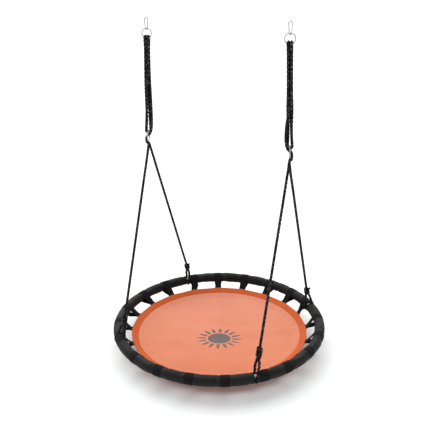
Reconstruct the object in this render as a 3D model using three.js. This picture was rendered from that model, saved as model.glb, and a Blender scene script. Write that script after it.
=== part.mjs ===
// Saucer nest swing: a round padded frame with a webbed mat, hung by four rope legs from two snap
// hooks. Millimetres, +Z up, X along the line of the two hooks, Y fore and aft. The origin is midway
// between the inside crowns of the hooks, where a beam's hangers would carry them.

import * as THREE from 'three';

// ---------- driving dimensions ----------

const hookSpan = 651; // between the two hooks
const ringDrop = 1322.5; // from the centre of a top ring to the plane of the seat frame
const seatOffsetX = 11; // the seat hangs a little to the right of the hooks' midpoint

const frameDiameter = 1000; // outside of the padding
const foamRadius = 24;
const foamBore = 15.6; // radius of the hole through the foam
const steelRadius = 14;
const steelWall = 2;

const strapCount = 20;
const strapStartAngle = 9; // degrees, the first strap's place on the frame
const strapWidthAtFrame = 39;
const strapWidthAtMat = 34;
const strapThickness = 1.8;
const strapClearance = 1.6; // between the foam and the inside of a strap
const strapTabLength = 13; // where the two plies lie on each other

const matEdgeRadius = 416.3;
const matEdgeDrop = 34.5; // below the frame's centre plane
const hemInnerRadius = 385.4;
const hemInnerDrop = 48;
const hemThickness = 4.5;
const matThickness = 3;
const matSag = 12; // how much lower the middle of the mat is than its edge

const ropeRadius = 5.75;
const tieGapHalf = 13; // half the bare length of steel tube at each tie
const loopClearance = 1.1; // between a rope loop and the steel tube

const adjusterRise = 875; // above the frame's centre plane
const adjusterSpread = 13.5; // how much further apart the adjusters hang than the hooks
const adjusterRadius = 25.5; // centre line of the ring's wire
const adjusterTurn = 22; // degrees, the direction the ring faces
const leftSplitDrop = 37.4; // below the left adjuster, where its two legs part
const rightSplitDrop = 44.7;

const ringRadius = 21.5; // centre line of a top ring's wire
const ringTurn = 12; // degrees, the direction of a top ring's plane
const wireRadius = 2.5;
const hookLength = 55;
const hookTopRadius = 10.5; // centre line of the wide upper bow
const hookBottomRadius = 7; // centre line of the narrow lower bow
const leftHookTurn = 80; // degrees, the direction of a hook's broad side
const rightHookTurn = 68;
const hookFootLength = 6.5; // straight wire between the lower bow and the gate
const gateClearance = 1.2;

// The strands of a bundle draw together above the adjuster, make a quarter turn, and open again to
// the two sides of the top ring's wire. Each is from one share of the way up to another.
const leftGather = [0.04, 0.72];
const rightGather = [0.04, 0.55];
const fallingGather = [0.03, 0.15];
const leftQuarterTurn = [0.04, 0.9];
const rightQuarterTurn = [0.14, 0.58];
const ringOpening = [0.9, 1];

const gap = 0.3; // between pieces that touch
const ropeButtGap = 1.5; // between two lengths of one rope where it bends
const slipGap = 6; // between a knot and the loop that moves against it

const knotRadius = 13.5;

// The four ties: the side and the end of the swing, where the leg's line meets the frame's circle
// and where its loop goes round the tube in degrees, and the knot's middle and length along the leg.
const ties = [
  { name: 'right_back', side: 1, fore: 1, legAngle: 45.4, angle: 44.6, knotAt: 109, knotLength: 38 },
  { name: 'left_back', side: -1, fore: 1, legAngle: 135, angle: 137.2, knotAt: 101, knotLength: 36 },
  { name: 'left_front', side: -1, fore: -1, legAngle: 227.9, angle: 223.8, knotAt: 106, knotLength: 42 },
  { name: 'right_front', side: 1, fore: -1, legAngle: 314.6, angle: 314.8, knotAt: 106, knotLength: 46 },
];

// Where each strap crosses the tube, in degrees. On the mat they are evenly spaced.
const strapAngles = [
  9, 28.3, 49, 63, 80.5, 99, 117, 133, 153.8, 172.3,
  191.2, 208.3, 228.3, 246.3, 264.2, 281.5, 299.3, 319, 333.2, 351.5,
];

// ---------- derived places ----------

const hookWireTop = wireRadius;
const hookWireBottom = hookWireTop + 2 * wireRadius - hookLength;
const ringTopWire = hookWireBottom + 2 * wireRadius + gap;
const ringCentre = ringTopWire - ringRadius;
const ringBottomWire = ringCentre - ringRadius;
const framePlane = ringCentre - ringDrop;
const adjusterCentre = framePlane + adjusterRise;
const frameRadius = frameDiameter / 2 - foamRadius;
const strandGap = ropeRadius + 0.5; // half the distance between two ropes side by side
const strandReach = ropeRadius + wireRadius + 2.5; // from a wire's centre to a rope beside it

// ---------- colours ----------

const looks = {
  foam: { color: 0x2a2a2b, roughness: 0.75, metalness: 0 },
  webbing: { color: 0x1c1c1d, roughness: 0.85, metalness: 0 },
  mat: { color: 0xe8936b, roughness: 0.9, metalness: 0 },
  hem: { color: 0xcf6534, roughness: 0.9, metalness: 0 },
  rope: { color: 0x151617, roughness: 0.8, metalness: 0 },
  zinc: { color: 0xb4b7ba, roughness: 0.35, metalness: 1 },
};

const swing = new THREE.Group();
const seat = new THREE.Group();
seat.position.set(seatOffsetX, 0, framePlane);
swing.add(seat);

function addMesh(parent, name, geometry, look) {
  const mesh = new THREE.Mesh(geometry, new THREE.MeshStandardMaterial(looks[look]));
  mesh.name = name;
  parent.add(mesh);
  return mesh;
}

// ---------- small geometry helpers ----------

const radians = THREE.MathUtils.degToRad;
const vector = (x, y, z) => new THREE.Vector3(x, y, z);
const upward = vector(0, 0, 1);
const direction = (degrees) => vector(Math.cos(radians(degrees)), Math.sin(radians(degrees)), 0);

// A curve through the points of a route that is swept with one step from each point to the next.
class Route extends THREE.CatmullRomCurve3 {
  getUtoTmapping(u) {
    return u;
  }
}

// The centre line of the frame's tube between two angles in degrees.
class FrameLine extends THREE.Curve {
  constructor(startAngle, endAngle) {
    super();
    this.startAngle = startAngle;
    this.endAngle = endAngle;
  }

  getPoint(t) {
    return direction(THREE.MathUtils.lerp(this.startAngle, this.endAngle, t)).multiplyScalar(frameRadius);
  }
}

function polygon(radius, sides) {
  const points = [];
  for (let i = 0; i < sides; i += 1) {
    const a = (2 * Math.PI * i) / sides;
    points.push(new THREE.Vector2(radius * Math.cos(a), radius * Math.sin(a)));
  }
  return points;
}

function sweep(path, steps, section) {
  return new THREE.ExtrudeGeometry(section, { steps, extrudePath: path, bevelEnabled: false });
}

function roundBar(points, radius, sides) {
  return sweep(new Route(points), points.length - 1, new THREE.Shape(polygon(radius, sides)));
}

function wireRing(radius) {
  return new THREE.TorusGeometry(radius, wireRadius, 6, 18);
}

// ---------- the padded frame ----------

// A hollow tube bent along the frame between two angles.
function frameArc(outerRadius, innerRadius, startAngle, endAngle, steps, outerSides, innerSides) {
  const section = new THREE.Shape(polygon(outerRadius, outerSides));
  section.holes.push(new THREE.Path(polygon(innerRadius, innerSides)));
  return sweep(new FrameLine(startAngle, endAngle), steps, section);
}

function addFrame() {
  const gapAngle = THREE.MathUtils.radToDeg(tieGapHalf / frameRadius);
  const buttAngle = THREE.MathUtils.radToDeg(gap / frameRadius);
  ties.forEach((tie, i) => {
    const last = i === ties.length - 1;
    const next = last ? ties[0].angle + 360 : ties[i + 1].angle;
    const previous = i === 0 ? ties[ties.length - 1].angle - 360 : ties[i - 1].angle;
    const sleeve = frameArc(foamRadius, foamBore, tie.angle + gapAngle, next - gapAngle, 14, 12, 8);
    addMesh(seat, `foam_sleeve_${i + 1}`, sleeve, 'foam');
    // the steel is in four quarters that butt in the middle of each sleeve
    const start = (previous + tie.angle) / 2 + buttAngle;
    const end = (tie.angle + next) / 2 - buttAngle;
    const quarter = frameArc(steelRadius, steelRadius - steelWall, start, end, 12, 8, 6);
    addMesh(seat, `steel_tube_${tie.name}`, quarter, 'zinc');
  });
}

// ---------- the mat and its hem ----------

function addMat() {
  const edge = hemInnerRadius - gap - 0.2;
  const profile = [];
  const rings = 4;
  const drop = (r) => -hemInnerDrop - matSag * (1 - (r / edge) ** 2);
  for (let i = 0; i <= rings; i += 1) {
    const r = (edge * i) / rings;
    profile.push(new THREE.Vector2(r, drop(r) - matThickness / 2));
  }
  for (let i = rings; i >= 0; i -= 1) {
    const r = (edge * i) / rings;
    profile.push(new THREE.Vector2(r, drop(r) + matThickness / 2));
  }
  addMesh(seat, 'mat', new THREE.LatheGeometry(profile, 60).rotateX(Math.PI / 2), 'mat');

  const half = hemThickness / 2;
  const band = [
    new THREE.Vector2(hemInnerRadius, -hemInnerDrop - half),
    new THREE.Vector2(matEdgeRadius, -matEdgeDrop - half),
    new THREE.Vector2(matEdgeRadius, -matEdgeDrop + half),
    new THREE.Vector2(hemInnerRadius, -hemInnerDrop + half),
    new THREE.Vector2(hemInnerRadius, -hemInnerDrop - half),
  ];
  addMesh(seat, 'mat_hem', new THREE.LatheGeometry(band, 60).rotateX(Math.PI / 2), 'hem');
}

// ---------- the webbing straps ----------

// Points of an arc about the tube's centre, between where two tangents from a point touch it.
function tangentArc(from, radius, segments) {
  const reach = Math.acos(radius / from.length());
  const toward = Math.atan2(from.y, from.x) + 2 * Math.PI;
  const start = toward + reach;
  const end = toward + 2 * Math.PI - reach;
  const points = [];
  for (let i = 0; i <= segments; i += 1) {
    const a = start + ((end - start) * i) / segments;
    points.push(new THREE.Vector2(radius * Math.cos(a), radius * Math.sin(a)));
  }
  return points;
}

// A strap seen along the tube: two plies that leave the mat as one and part to go round the foam.
function strapSection() {
  const mat = new THREE.Vector2(matEdgeRadius + strapThickness - frameRadius, -matEdgeDrop);
  const inward = mat.clone().negate().normalize();
  const across = new THREE.Vector2(-inward.y, inward.x).multiplyScalar(strapThickness);
  const parting = mat.clone().addScaledVector(inward, strapTabLength);
  const insideRadius = foamRadius + strapClearance;
  const outline = [mat.clone().sub(across)];
  outline.push(...tangentArc(mat, insideRadius + strapThickness, 8));
  outline.push(mat.clone().add(across));
  const section = new THREE.Shape(outline);
  section.holes.push(new THREE.Path([parting, ...tangentArc(parting, insideRadius, 8)]));
  return section;
}

function addStraps() {
  const section = strapSection();
  const matReach = frameRadius - matEdgeRadius;
  for (let i = 0; i < strapCount; i += 1) {
    const matAngle = strapStartAngle + (i * 360) / strapCount;
    const frameAngle = strapAngles[i];
    const geometry = new THREE.ExtrudeGeometry(section, { depth: 1, steps: 1, bevelEnabled: false });
    const places = geometry.attributes.position;
    for (let v = 0; v < places.count; v += 1) {
      const reach = places.getX(v);
      const along = THREE.MathUtils.clamp((reach + matReach) / (matReach - foamRadius), 0, 1);
      const radius = frameRadius + reach;
      const width = strapWidthAtMat + (strapWidthAtFrame - strapWidthAtMat) * along;
      const lateral = (0.5 - places.getZ(v)) * width;
      const angle = radians(matAngle + (frameAngle - matAngle) * along) + lateral / radius;
      places.setXYZ(v, radius * Math.cos(angle), radius * Math.sin(angle), places.getY(v));
    }
    addMesh(seat, `strap_${String(i + 1).padStart(2, '0')}`, geometry, 'webbing');
  }
}

// ---------- ropes ----------

const sideX = (side) => (side * hookSpan) / 2;
const adjusterX = (side) => sideX(side) + side * adjusterSpread;
const lowWire = adjusterCentre - adjusterRadius;
const highWire = adjusterCentre + adjusterRadius;
const legTop = highWire + 20;

// A point beside the adjuster: how far towards the face that looks at the other side's ropes, how
// far across that face, and its height.
function besideAdjuster(side, facing, across, height) {
  return vector(adjusterX(side), 0, height)
    .addScaledVector(direction(adjusterTurn), -side * facing)
    .addScaledVector(direction(adjusterTurn + 90), across);
}

// The line that a leg pulls along: from the frame's circle to where the legs meet.
function tieLine(tie) {
  const foot = direction(tie.legAngle).multiplyScalar(frameRadius).add(seat.position);
  const split = adjusterCentre - (tie.side < 0 ? leftSplitDrop : rightSplitDrop);
  const head = besideAdjuster(tie.side, 0, tie.fore * strandGap, split);
  const up = head.clone().sub(foot).normalize();
  return { foot, head, up };
}

// A rising strand's place above the adjuster: the front rope lies outside the back one.
const risingFacing = (tie) => (tie.fore < 0 ? 17 : 8.5);
const risingAcross = (tie) => (tie.fore < 0 ? -5 : 5.2);

// A leg goes up from its knot, joins its partner, bends under the adjuster ring's lower wire, goes
// through the ring from its back to its face and ends in the bundle above.
function addLeg(tie) {
  const { foot, head, up } = tieLine(tie);
  const bottom = foot.clone().addScaledVector(up, tie.knotAt + tie.knotLength / 2 + gap);
  const points = [0, 0.2, 0.4, 0.6, 0.8, 0.96].map((t) => bottom.clone().lerp(head, t));
  const across = tie.fore * strandGap;
  const bend = [
    [-2, -9.2], [-7.4, -5.6], [-9.8, 3.5], [-9.9, 13.5], [-6.5, 23.5], [0, 29.5], [6.5, 36.5],
  ];
  for (const [facing, rise] of bend) {
    points.push(besideAdjuster(tie.side, facing, across, lowWire + rise));
  }
  const top = [risingFacing(tie), risingAcross(tie)];
  for (const [share, height] of [[0.35, highWire - 5], [0.7, highWire + 5], [1, legTop]]) {
    const facing = THREE.MathUtils.lerp(9.4, top[0], share);
    const place = THREE.MathUtils.lerp(across, top[1], share);
    points.push(besideAdjuster(tie.side, facing, place, height));
  }
  addMesh(swing, `rope_leg_${tie.name}`, roundBar(points, ropeRadius, 8), 'rope');
}

// A place in the bundle between adjuster (rise 0) and top ring (rise 1), for the strand that rises
// from a leg or for the one that comes back down. The four strands draw together above the
// adjuster, make a quarter turn and open to the two sides of the ring's wire.
function bundlePoint(tie, rising, rise) {
  const facing = rising ? risingFacing(tie) : -strandReach + 2;
  const across = rising ? risingAcross(tie) : tie.fore * strandGap;
  const risingGather = tie.side < 0 ? leftGather : rightGather;
  const together = THREE.MathUtils.smoothstep(rise, ...(rising ? risingGather : fallingGather));
  const place = direction(adjusterTurn)
    .multiplyScalar(-tie.side * THREE.MathUtils.lerp(facing, rising ? strandGap : -strandGap, together));
  const side = THREE.MathUtils.lerp(across, tie.fore * strandGap, together);
  place.addScaledVector(direction(adjusterTurn + 90), side);
  const quarterTurn = tie.side < 0 ? leftQuarterTurn : rightQuarterTurn;
  const turn = 90 - adjusterTurn + ringTurn;
  place.applyAxisAngle(upward, radians(turn * THREE.MathUtils.smoothstep(rise, ...quarterTurn)));
  const top = vector(-tie.fore * strandGap, (rising ? -tie.side : tie.side) * strandReach, 0);
  top.applyAxisAngle(upward, radians(ringTurn));
  place.lerp(top, THREE.MathUtils.smoothstep(rise, ...ringOpening));
  place.x += THREE.MathUtils.lerp(adjusterX(tie.side), sideX(tie.side), rise);
  place.z = THREE.MathUtils.lerp(highWire, ringBottomWire, rise);
  return place;
}

// An upper rope carries on from a leg, goes over the top ring's wire, comes back down and is
// hitched to the adjuster ring's upper wire.
function addUpperRope(tie) {
  const start = (legTop + ropeButtGap - highWire) / (ringBottomWire - highWire);
  const rises = [0.1, 0.2, 0.3, 0.4, 0.5, 0.6, 0.75, 0.9, 0.96];
  const points = [start, ...rises].map((rise) => bundlePoint(tie, true, rise));
  const turns = 6;
  for (let i = 0; i <= turns; i += 1) {
    const a = (Math.PI * i) / turns;
    const over = bundlePoint(tie, true, 1).lerp(bundlePoint(tie, false, 1), (1 - Math.cos(a)) / 2);
    points.push(over.add(vector(0, 0, strandReach * Math.sin(a))));
  }
  rises.reverse().forEach((rise) => points.push(bundlePoint(tie, false, rise)));
  points.push(bundlePoint(tie, false, 0.03));
  const hitchReach = ropeRadius + wireRadius + 1.2;
  for (const a of [195, 225, 250]) {
    const facing = hitchReach * Math.cos(radians(a));
    const height = highWire + hitchReach * Math.sin(radians(a));
    points.push(besideAdjuster(tie.side, facing, tie.fore * strandGap, height));
  }
  addMesh(swing, `rope_upper_${tie.name}`, roundBar(points, ropeRadius, 8), 'rope');
}

// A knot is a lump on the line of its leg.
function addKnot(tie) {
  const { foot, up } = tieLine(tie);
  const half = tie.knotLength / 2;
  const profile = [];
  for (const degrees of [-90, -55, -20, 20, 55, 90]) {
    const a = radians(degrees);
    profile.push(new THREE.Vector2(knotRadius * Math.cos(a) ** 0.6, half * Math.sin(a)));
  }
  profile[0].x = 0;
  profile[profile.length - 1].x = 0;
  const knot = addMesh(swing, `knot_${tie.name}`, new THREE.LatheGeometry(profile, 8), 'rope');
  knot.position.copy(foot.clone().addScaledVector(up, tie.knotAt));
  knot.quaternion.setFromUnitVectors(vector(0, 1, 0), up);
}

// The loop hangs from the knot, passes under the steel tube and comes back to the knot. Its round
// part stays square to the tube, and its two strands lean towards the knot.
function addLoop(tie) {
  const leg = tieLine(tie);
  const knotBottom = leg.foot.clone().addScaledVector(leg.up, tie.knotAt - tie.knotLength / 2 - slipGap);
  const foot = direction(tie.angle).multiplyScalar(frameRadius).add(seat.position);
  const rise = knotBottom.sub(foot);
  const outward = direction(tie.angle);
  const along = direction(tie.angle + 90);
  const flat = rise.clone().addScaledVector(along, -rise.dot(along));
  const neck = flat.length();
  const lean = rise.dot(along) / neck;
  flat.normalize();
  const sideways = outward.clone().addScaledVector(flat, -outward.dot(flat)).normalize();
  const wrap = steelRadius + loopClearance + ropeRadius;
  const flatPoint = (x, y) =>
    foot.clone().addScaledVector(sideways, x).addScaledVector(flat, y)
      .addScaledVector(along, Math.max(0, y) * lean);
  // a tangent from each strand's upper end to the wrap
  const end = new THREE.Vector2(strandGap, neck);
  const touch = Math.atan2(end.y, end.x) - Math.acos(wrap / end.length());
  const points = [flatPoint(strandGap, neck)];
  const arcSteps = 12;
  for (let i = 0; i <= arcSteps; i += 1) {
    const a = touch - ((Math.PI + 2 * touch) * i) / arcSteps;
    points.push(flatPoint(wrap * Math.cos(a), wrap * Math.sin(a)));
  }
  points.push(flatPoint(-strandGap, neck));
  addMesh(swing, `rope_loop_${tie.name}`, roundBar(points, ropeRadius, 8), 'rope');
}

// ---------- rings and hooks ----------

function addRings(side, label) {
  const topRing = addMesh(swing, `top_ring_${label}`, wireRing(ringRadius), 'zinc');
  topRing.position.set(sideX(side), 0, ringCentre);
  topRing.rotation.order = 'ZXY';
  topRing.rotation.set(Math.PI / 2, 0, radians(ringTurn));
  const adjuster = addMesh(swing, `adjuster_ring_${label}`, wireRing(adjusterRadius), 'zinc');
  adjuster.position.set(adjusterX(side), 0, adjusterCentre);
  adjuster.rotation.order = 'ZXY';
  adjuster.rotation.set(Math.PI / 2, 0, radians(adjusterTurn + 90));
}

// A pear-shaped snap hook in the plane of its broad direction and Z: one bent wire and a gate.
function addHook(side, label) {
  const broad = direction(side < 0 ? leftHookTurn : rightHookTurn);
  const topCentre = hookWireTop - hookTopRadius;
  const bottomCentre = hookWireBottom + hookBottomRadius;
  const lean = Math.asin((hookTopRadius - hookBottomRadius) / (topCentre - bottomCentre));
  const place = (x, z) => vector(sideX(side), 0, z).addScaledVector(broad, x);
  const onBow = (centre, radius, a) => place(radius * Math.cos(a), centre + radius * Math.sin(a));
  const footStart = onBow(bottomCentre, hookBottomRadius, -lean);
  const noseEnd = onBow(topCentre, hookTopRadius, -lean);
  const gateLine = noseEnd.clone().sub(footStart).normalize();

  const points = [footStart.clone().addScaledVector(gateLine, hookFootLength)];
  const bottomSteps = 8;
  for (let i = 0; i <= bottomSteps; i += 1) {
    points.push(onBow(bottomCentre, hookBottomRadius, -lean - ((Math.PI - 2 * lean) * i) / bottomSteps));
  }
  const topSteps = 9;
  const noseGap = 0.5 / hookTopRadius;
  for (let i = 0; i <= topSteps; i += 1) {
    const start = Math.PI + lean;
    const end = noseGap - lean;
    points.push(onBow(topCentre, hookTopRadius, start + ((end - start) * i) / topSteps));
  }
  addMesh(swing, `hook_${label}`, roundBar(points, wireRadius, 6), 'zinc');

  const hinge = footStart.clone().addScaledVector(gateLine, hookFootLength + gateClearance);
  addMesh(swing, `gate_${label}`, roundBar([hinge, noseEnd], wireRadius * 0.9, 6), 'zinc');
}

// ---------- assembly ----------

addFrame();
addMat();
addStraps();
ties.forEach((tie) => {
  addLeg(tie);
  addUpperRope(tie);
  addKnot(tie);
  addLoop(tie);
});
for (const [side, label] of [[-1, 'left'], [1, 'right']]) {
  addRings(side, label);
  addHook(side, label);
}

export default swing;
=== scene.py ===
import math
from collections import namedtuple

import bpy
import numpy as np
from mathutils import Matrix, Vector


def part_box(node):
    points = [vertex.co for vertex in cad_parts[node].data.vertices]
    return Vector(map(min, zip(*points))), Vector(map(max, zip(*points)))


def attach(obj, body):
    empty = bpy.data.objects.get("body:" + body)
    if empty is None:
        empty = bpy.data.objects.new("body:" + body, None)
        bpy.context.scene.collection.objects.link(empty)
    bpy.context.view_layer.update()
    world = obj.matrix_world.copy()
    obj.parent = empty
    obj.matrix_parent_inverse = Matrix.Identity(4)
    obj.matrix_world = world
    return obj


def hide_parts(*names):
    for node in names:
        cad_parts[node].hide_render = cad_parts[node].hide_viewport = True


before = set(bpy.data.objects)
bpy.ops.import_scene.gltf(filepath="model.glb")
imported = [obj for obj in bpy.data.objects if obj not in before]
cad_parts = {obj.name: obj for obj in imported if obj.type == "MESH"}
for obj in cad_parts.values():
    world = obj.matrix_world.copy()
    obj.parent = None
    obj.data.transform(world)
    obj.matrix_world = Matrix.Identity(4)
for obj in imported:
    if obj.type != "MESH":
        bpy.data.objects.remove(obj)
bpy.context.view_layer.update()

# A saucer nest swing: padded ring, woven mat, rope legs, adjuster rings, top rings and snap hooks.
# Metres, +Z up, X along the line of the two hooks.

MM = 0.001


def centre_of(node):
    low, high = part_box(node)
    return (np.array(low) + np.array(high)) / 2


# ---------- sizes and places, which repeat the frame's ----------

HEM_CENTRE = centre_of("mat_hem")
FRAME_PLANE = centre_of("foam_sleeve_1")[2]
SEAT = np.array([HEM_CENTRE[0], HEM_CENTRE[1], FRAME_PLANE])
LABELS = {-1: "left", 1: "right"}
RING_CENTRE = {side: centre_of(f"top_ring_{label}") for side, label in LABELS.items()}
ADJUSTER = {side: centre_of(f"adjuster_ring_{label}") for side, label in LABELS.items()}

FRAME_RADIUS = 476 * MM
FOAM_RADIUS = 24 * MM
STEEL_RADIUS = 14 * MM
STRAPS = 20
STRAP_START = 9
# where each strap crosses the tube, in degrees: on the mat they are evenly spaced
STRAP_ANGLES = [
    9, 28.3, 49, 63, 80.5, 99, 117, 133, 153.8, 172.3,
    191.2, 208.3, 228.3, 246.3, 264.2, 281.5, 299.3, 319, 333.2, 351.5,
]
STRAP_AT_FRAME = 39 * MM
STRAP_AT_MAT = 34 * MM
MAT_EDGE = 416.3 * MM
MAT_EDGE_DROP = 34.5 * MM
HEM_INNER = 385.4 * MM
HEM_INNER_DROP = 48 * MM
HEM_MIDDLE = 400 * MM
HEM_THICKNESS = 4.5 * MM
HEM_WIDTH = math.hypot(MAT_EDGE - HEM_INNER, HEM_INNER_DROP - MAT_EDGE_DROP)
HEM_SLOPE = math.atan2(HEM_INNER_DROP - MAT_EDGE_DROP, MAT_EDGE - HEM_INNER)
HEM_ROWS = (0.13, 0.82, 0.92)  # the rows of stitching, in shares of the hem's width from inside
MAT_SAG = 12 * MM
MAT_RADIUS = HEM_INNER + 3 * MM  # the mat's edge lies under the hem

ROPE_RADIUS = 5.75 * MM
BRAID_PAIRS = 3
BRAID_LAY = 17 * MM
STRAND_GAP = 6.25 * MM  # half the distance between two ropes side by side
STRAND_REACH = 10.75 * MM  # from a wire's centre to a rope beside it
LOOP_CLEARANCE = 1.1 * MM
HITCH_CLEARANCE = 1.2 * MM
TIE_GAP_HALF = 7 * MM  # the soft sleeves spread to here from the tie's middle
WIRE = 2.5 * MM
ADJUSTER_RADIUS = 25.5 * MM
ADJUSTER_TURN = 22
RING_RADIUS = 21.5 * MM
RING_TURN = 12
SPLIT_DROP = {-1: 37.4 * MM, 1: 44.7 * MM}
HOOK_LENGTH = 55 * MM
HOOK_TOP = 10.5 * MM
HOOK_BOTTOM = 7 * MM
HOOK_TURN = {-1: 80, 1: 68}
HOOK_FOOT = 6.5 * MM
HOOK_STEP = 0.8 * MM
GATE_CLEARANCE = 1.2 * MM

# The side and the end of the swing, where the leg's line meets the frame's circle and where its
# loop goes round the tube in degrees, and the knot's middle and length along the leg.
Tie = namedtuple("Tie", "name side fore leg_angle angle knot_at knot_length")
TIES = [
    Tie("right_back", 1, 1, 45.4, 44.6, 109 * MM, 38 * MM),
    Tie("left_back", -1, 1, 135.0, 137.2, 101 * MM, 36 * MM),
    Tie("left_front", -1, -1, 227.9, 223.8, 106 * MM, 42 * MM),
    Tie("right_front", 1, -1, 314.6, 314.8, 106 * MM, 46 * MM),
]
ROPE_BODY = {-1: "rope_left", 1: "rope_right"}

LOW_WIRE = ADJUSTER[1][2] - ADJUSTER_RADIUS
HIGH_WIRE = ADJUSTER[1][2] + ADJUSTER_RADIUS
LEG_TOP = HIGH_WIRE + 20 * MM
RING_BOTTOM = RING_CENTRE[1][2] - RING_RADIUS
FLOOR_DROP = 105 * MM

UP = np.array([0.0, 0.0, 1.0])


def direction(degrees):
    a = math.radians(degrees)
    return np.array([math.cos(a), math.sin(a), 0.0])


def unit(v):
    return v / np.linalg.norm(v)


def round_angles(count):
    return np.arange(count) * 2 * math.pi / count


def about_seat(reach, angle, height):
    """Points at a reach and an angle, in radians, round the seat's middle."""
    parts = np.broadcast_arrays(reach * np.cos(angle), reach * np.sin(angle), height)
    return np.stack(parts, -1) + SEAT


# ---------- camera ----------


def add_camera():
    data = bpy.data.cameras.new("camera")
    data.sensor_width = 36
    data.lens = 53.48
    data.clip_end = 200
    camera = bpy.data.objects.new("camera", data)
    turn = Matrix.Rotation(math.radians(26.85), 4, "Z")
    tilt = Matrix.Rotation(math.radians(90 - 20.82), 4, "X")
    roll = Matrix.Rotation(math.radians(-0.51), 4, "Z")
    camera.matrix_world = Matrix.Translation((1.208, -2.397, 0.179)) @ turn @ tilt @ roll
    bpy.context.scene.collection.objects.link(camera)
    bpy.context.scene.camera = camera


add_camera()

# ---------- node materials ----------


class Shade:
    """A Principled material with helpers for its nodes."""

    def __init__(self, name, **sockets):
        self.material = bpy.data.materials.new(name)
        self.material.use_nodes = True
        self.tree = self.material.node_tree
        self.bsdf = self.tree.nodes["Principled BSDF"]
        for socket, value in sockets.items():
            self.bsdf.inputs[socket.replace("_", " ")].default_value = value

    def node(self, kind, values=(), **settings):
        made = self.tree.nodes.new("ShaderNode" + kind)
        for key, value in settings.items():
            setattr(made, key, value)
        for key, value in dict(values).items():
            if isinstance(value, bpy.types.NodeSocket):
                self.tree.links.new(value, made.inputs[key])
            else:
                made.inputs[key].default_value = value
        return made

    def math(self, operation, a, b=0.0):
        return self.node("Math", {0: a, 1: b}, operation=operation).outputs[0]

    def times(self, a, b):
        return self.math("MULTIPLY", a, b)

    def blend(self, first, first_weight, second, second_weight):
        return self.math("ADD", self.times(first, first_weight), self.times(second, second_weight))

    def object_place(self, scale=(1, 1, 1), offset=(0, 0, 0)):
        coordinates = self.node("TexCoord").outputs["Object"]
        mapping = self.node("Mapping", {"Vector": coordinates, "Scale": scale, "Location": offset})
        return mapping.outputs[0]

    def uv_place(self, scale=(1, 1, 1)):
        coordinates = self.node("UVMap", uv_map="flow").outputs[0]
        return self.node("Mapping", {"Vector": coordinates, "Scale": scale}).outputs[0]

    def noise(self, vector, scale, detail=3.0):
        values = {"Vector": vector, "Scale": scale, "Detail": detail, "Roughness": 0.55}
        return self.node("TexNoise", values).outputs["Fac"]

    def ramp(self, value, low, high, to_low=0.0, to_high=1.0):
        values = {"Value": value, 1: low, 2: high, 3: to_low, 4: to_high}
        return self.node("MapRange", values, clamp=True).outputs[0]

    def mix(self, share, first, second):
        values = {"Factor": share, 6: first, 7: second}
        return self.node("Mix", values, data_type="RGBA").outputs[2]

    def colour(self, socket):
        self.tree.links.new(socket, self.bsdf.inputs["Base Color"])

    def roughness(self, socket):
        self.tree.links.new(socket, self.bsdf.inputs["Roughness"])

    def bump(self, height, distance, strength=1.0, after=None):
        values = {"Height": height, "Distance": distance, "Strength": strength}
        if after is not None:
            values["Normal"] = after
        return self.node("Bump", values).outputs[0]

    def normal(self, socket):
        self.tree.links.new(socket, self.bsdf.inputs["Normal"])


def rgb(r, g, b):
    return (r, g, b, 1.0)


def woven_height(shade, place, count_x, count_y):
    """Height of a plain weave with that many threads to a metre each way."""
    parts = shade.node("SeparateXYZ", {0: place}).outputs
    warp = shade.math("SINE", shade.times(parts[0], count_x * math.pi))
    weft = shade.math("SINE", shade.times(parts[1], count_y * math.pi))
    return shade.math("ADD", shade.times(shade.times(warp, weft), 0.5), 0.5)


BACKWARD = direction(116.5)  # level, away from the camera
PRINT_FORWARD = 48 * MM  # how far the print is from the mat's middle
PRINT_TURN = 22
PRINT_ASPECT = 1.2


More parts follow.
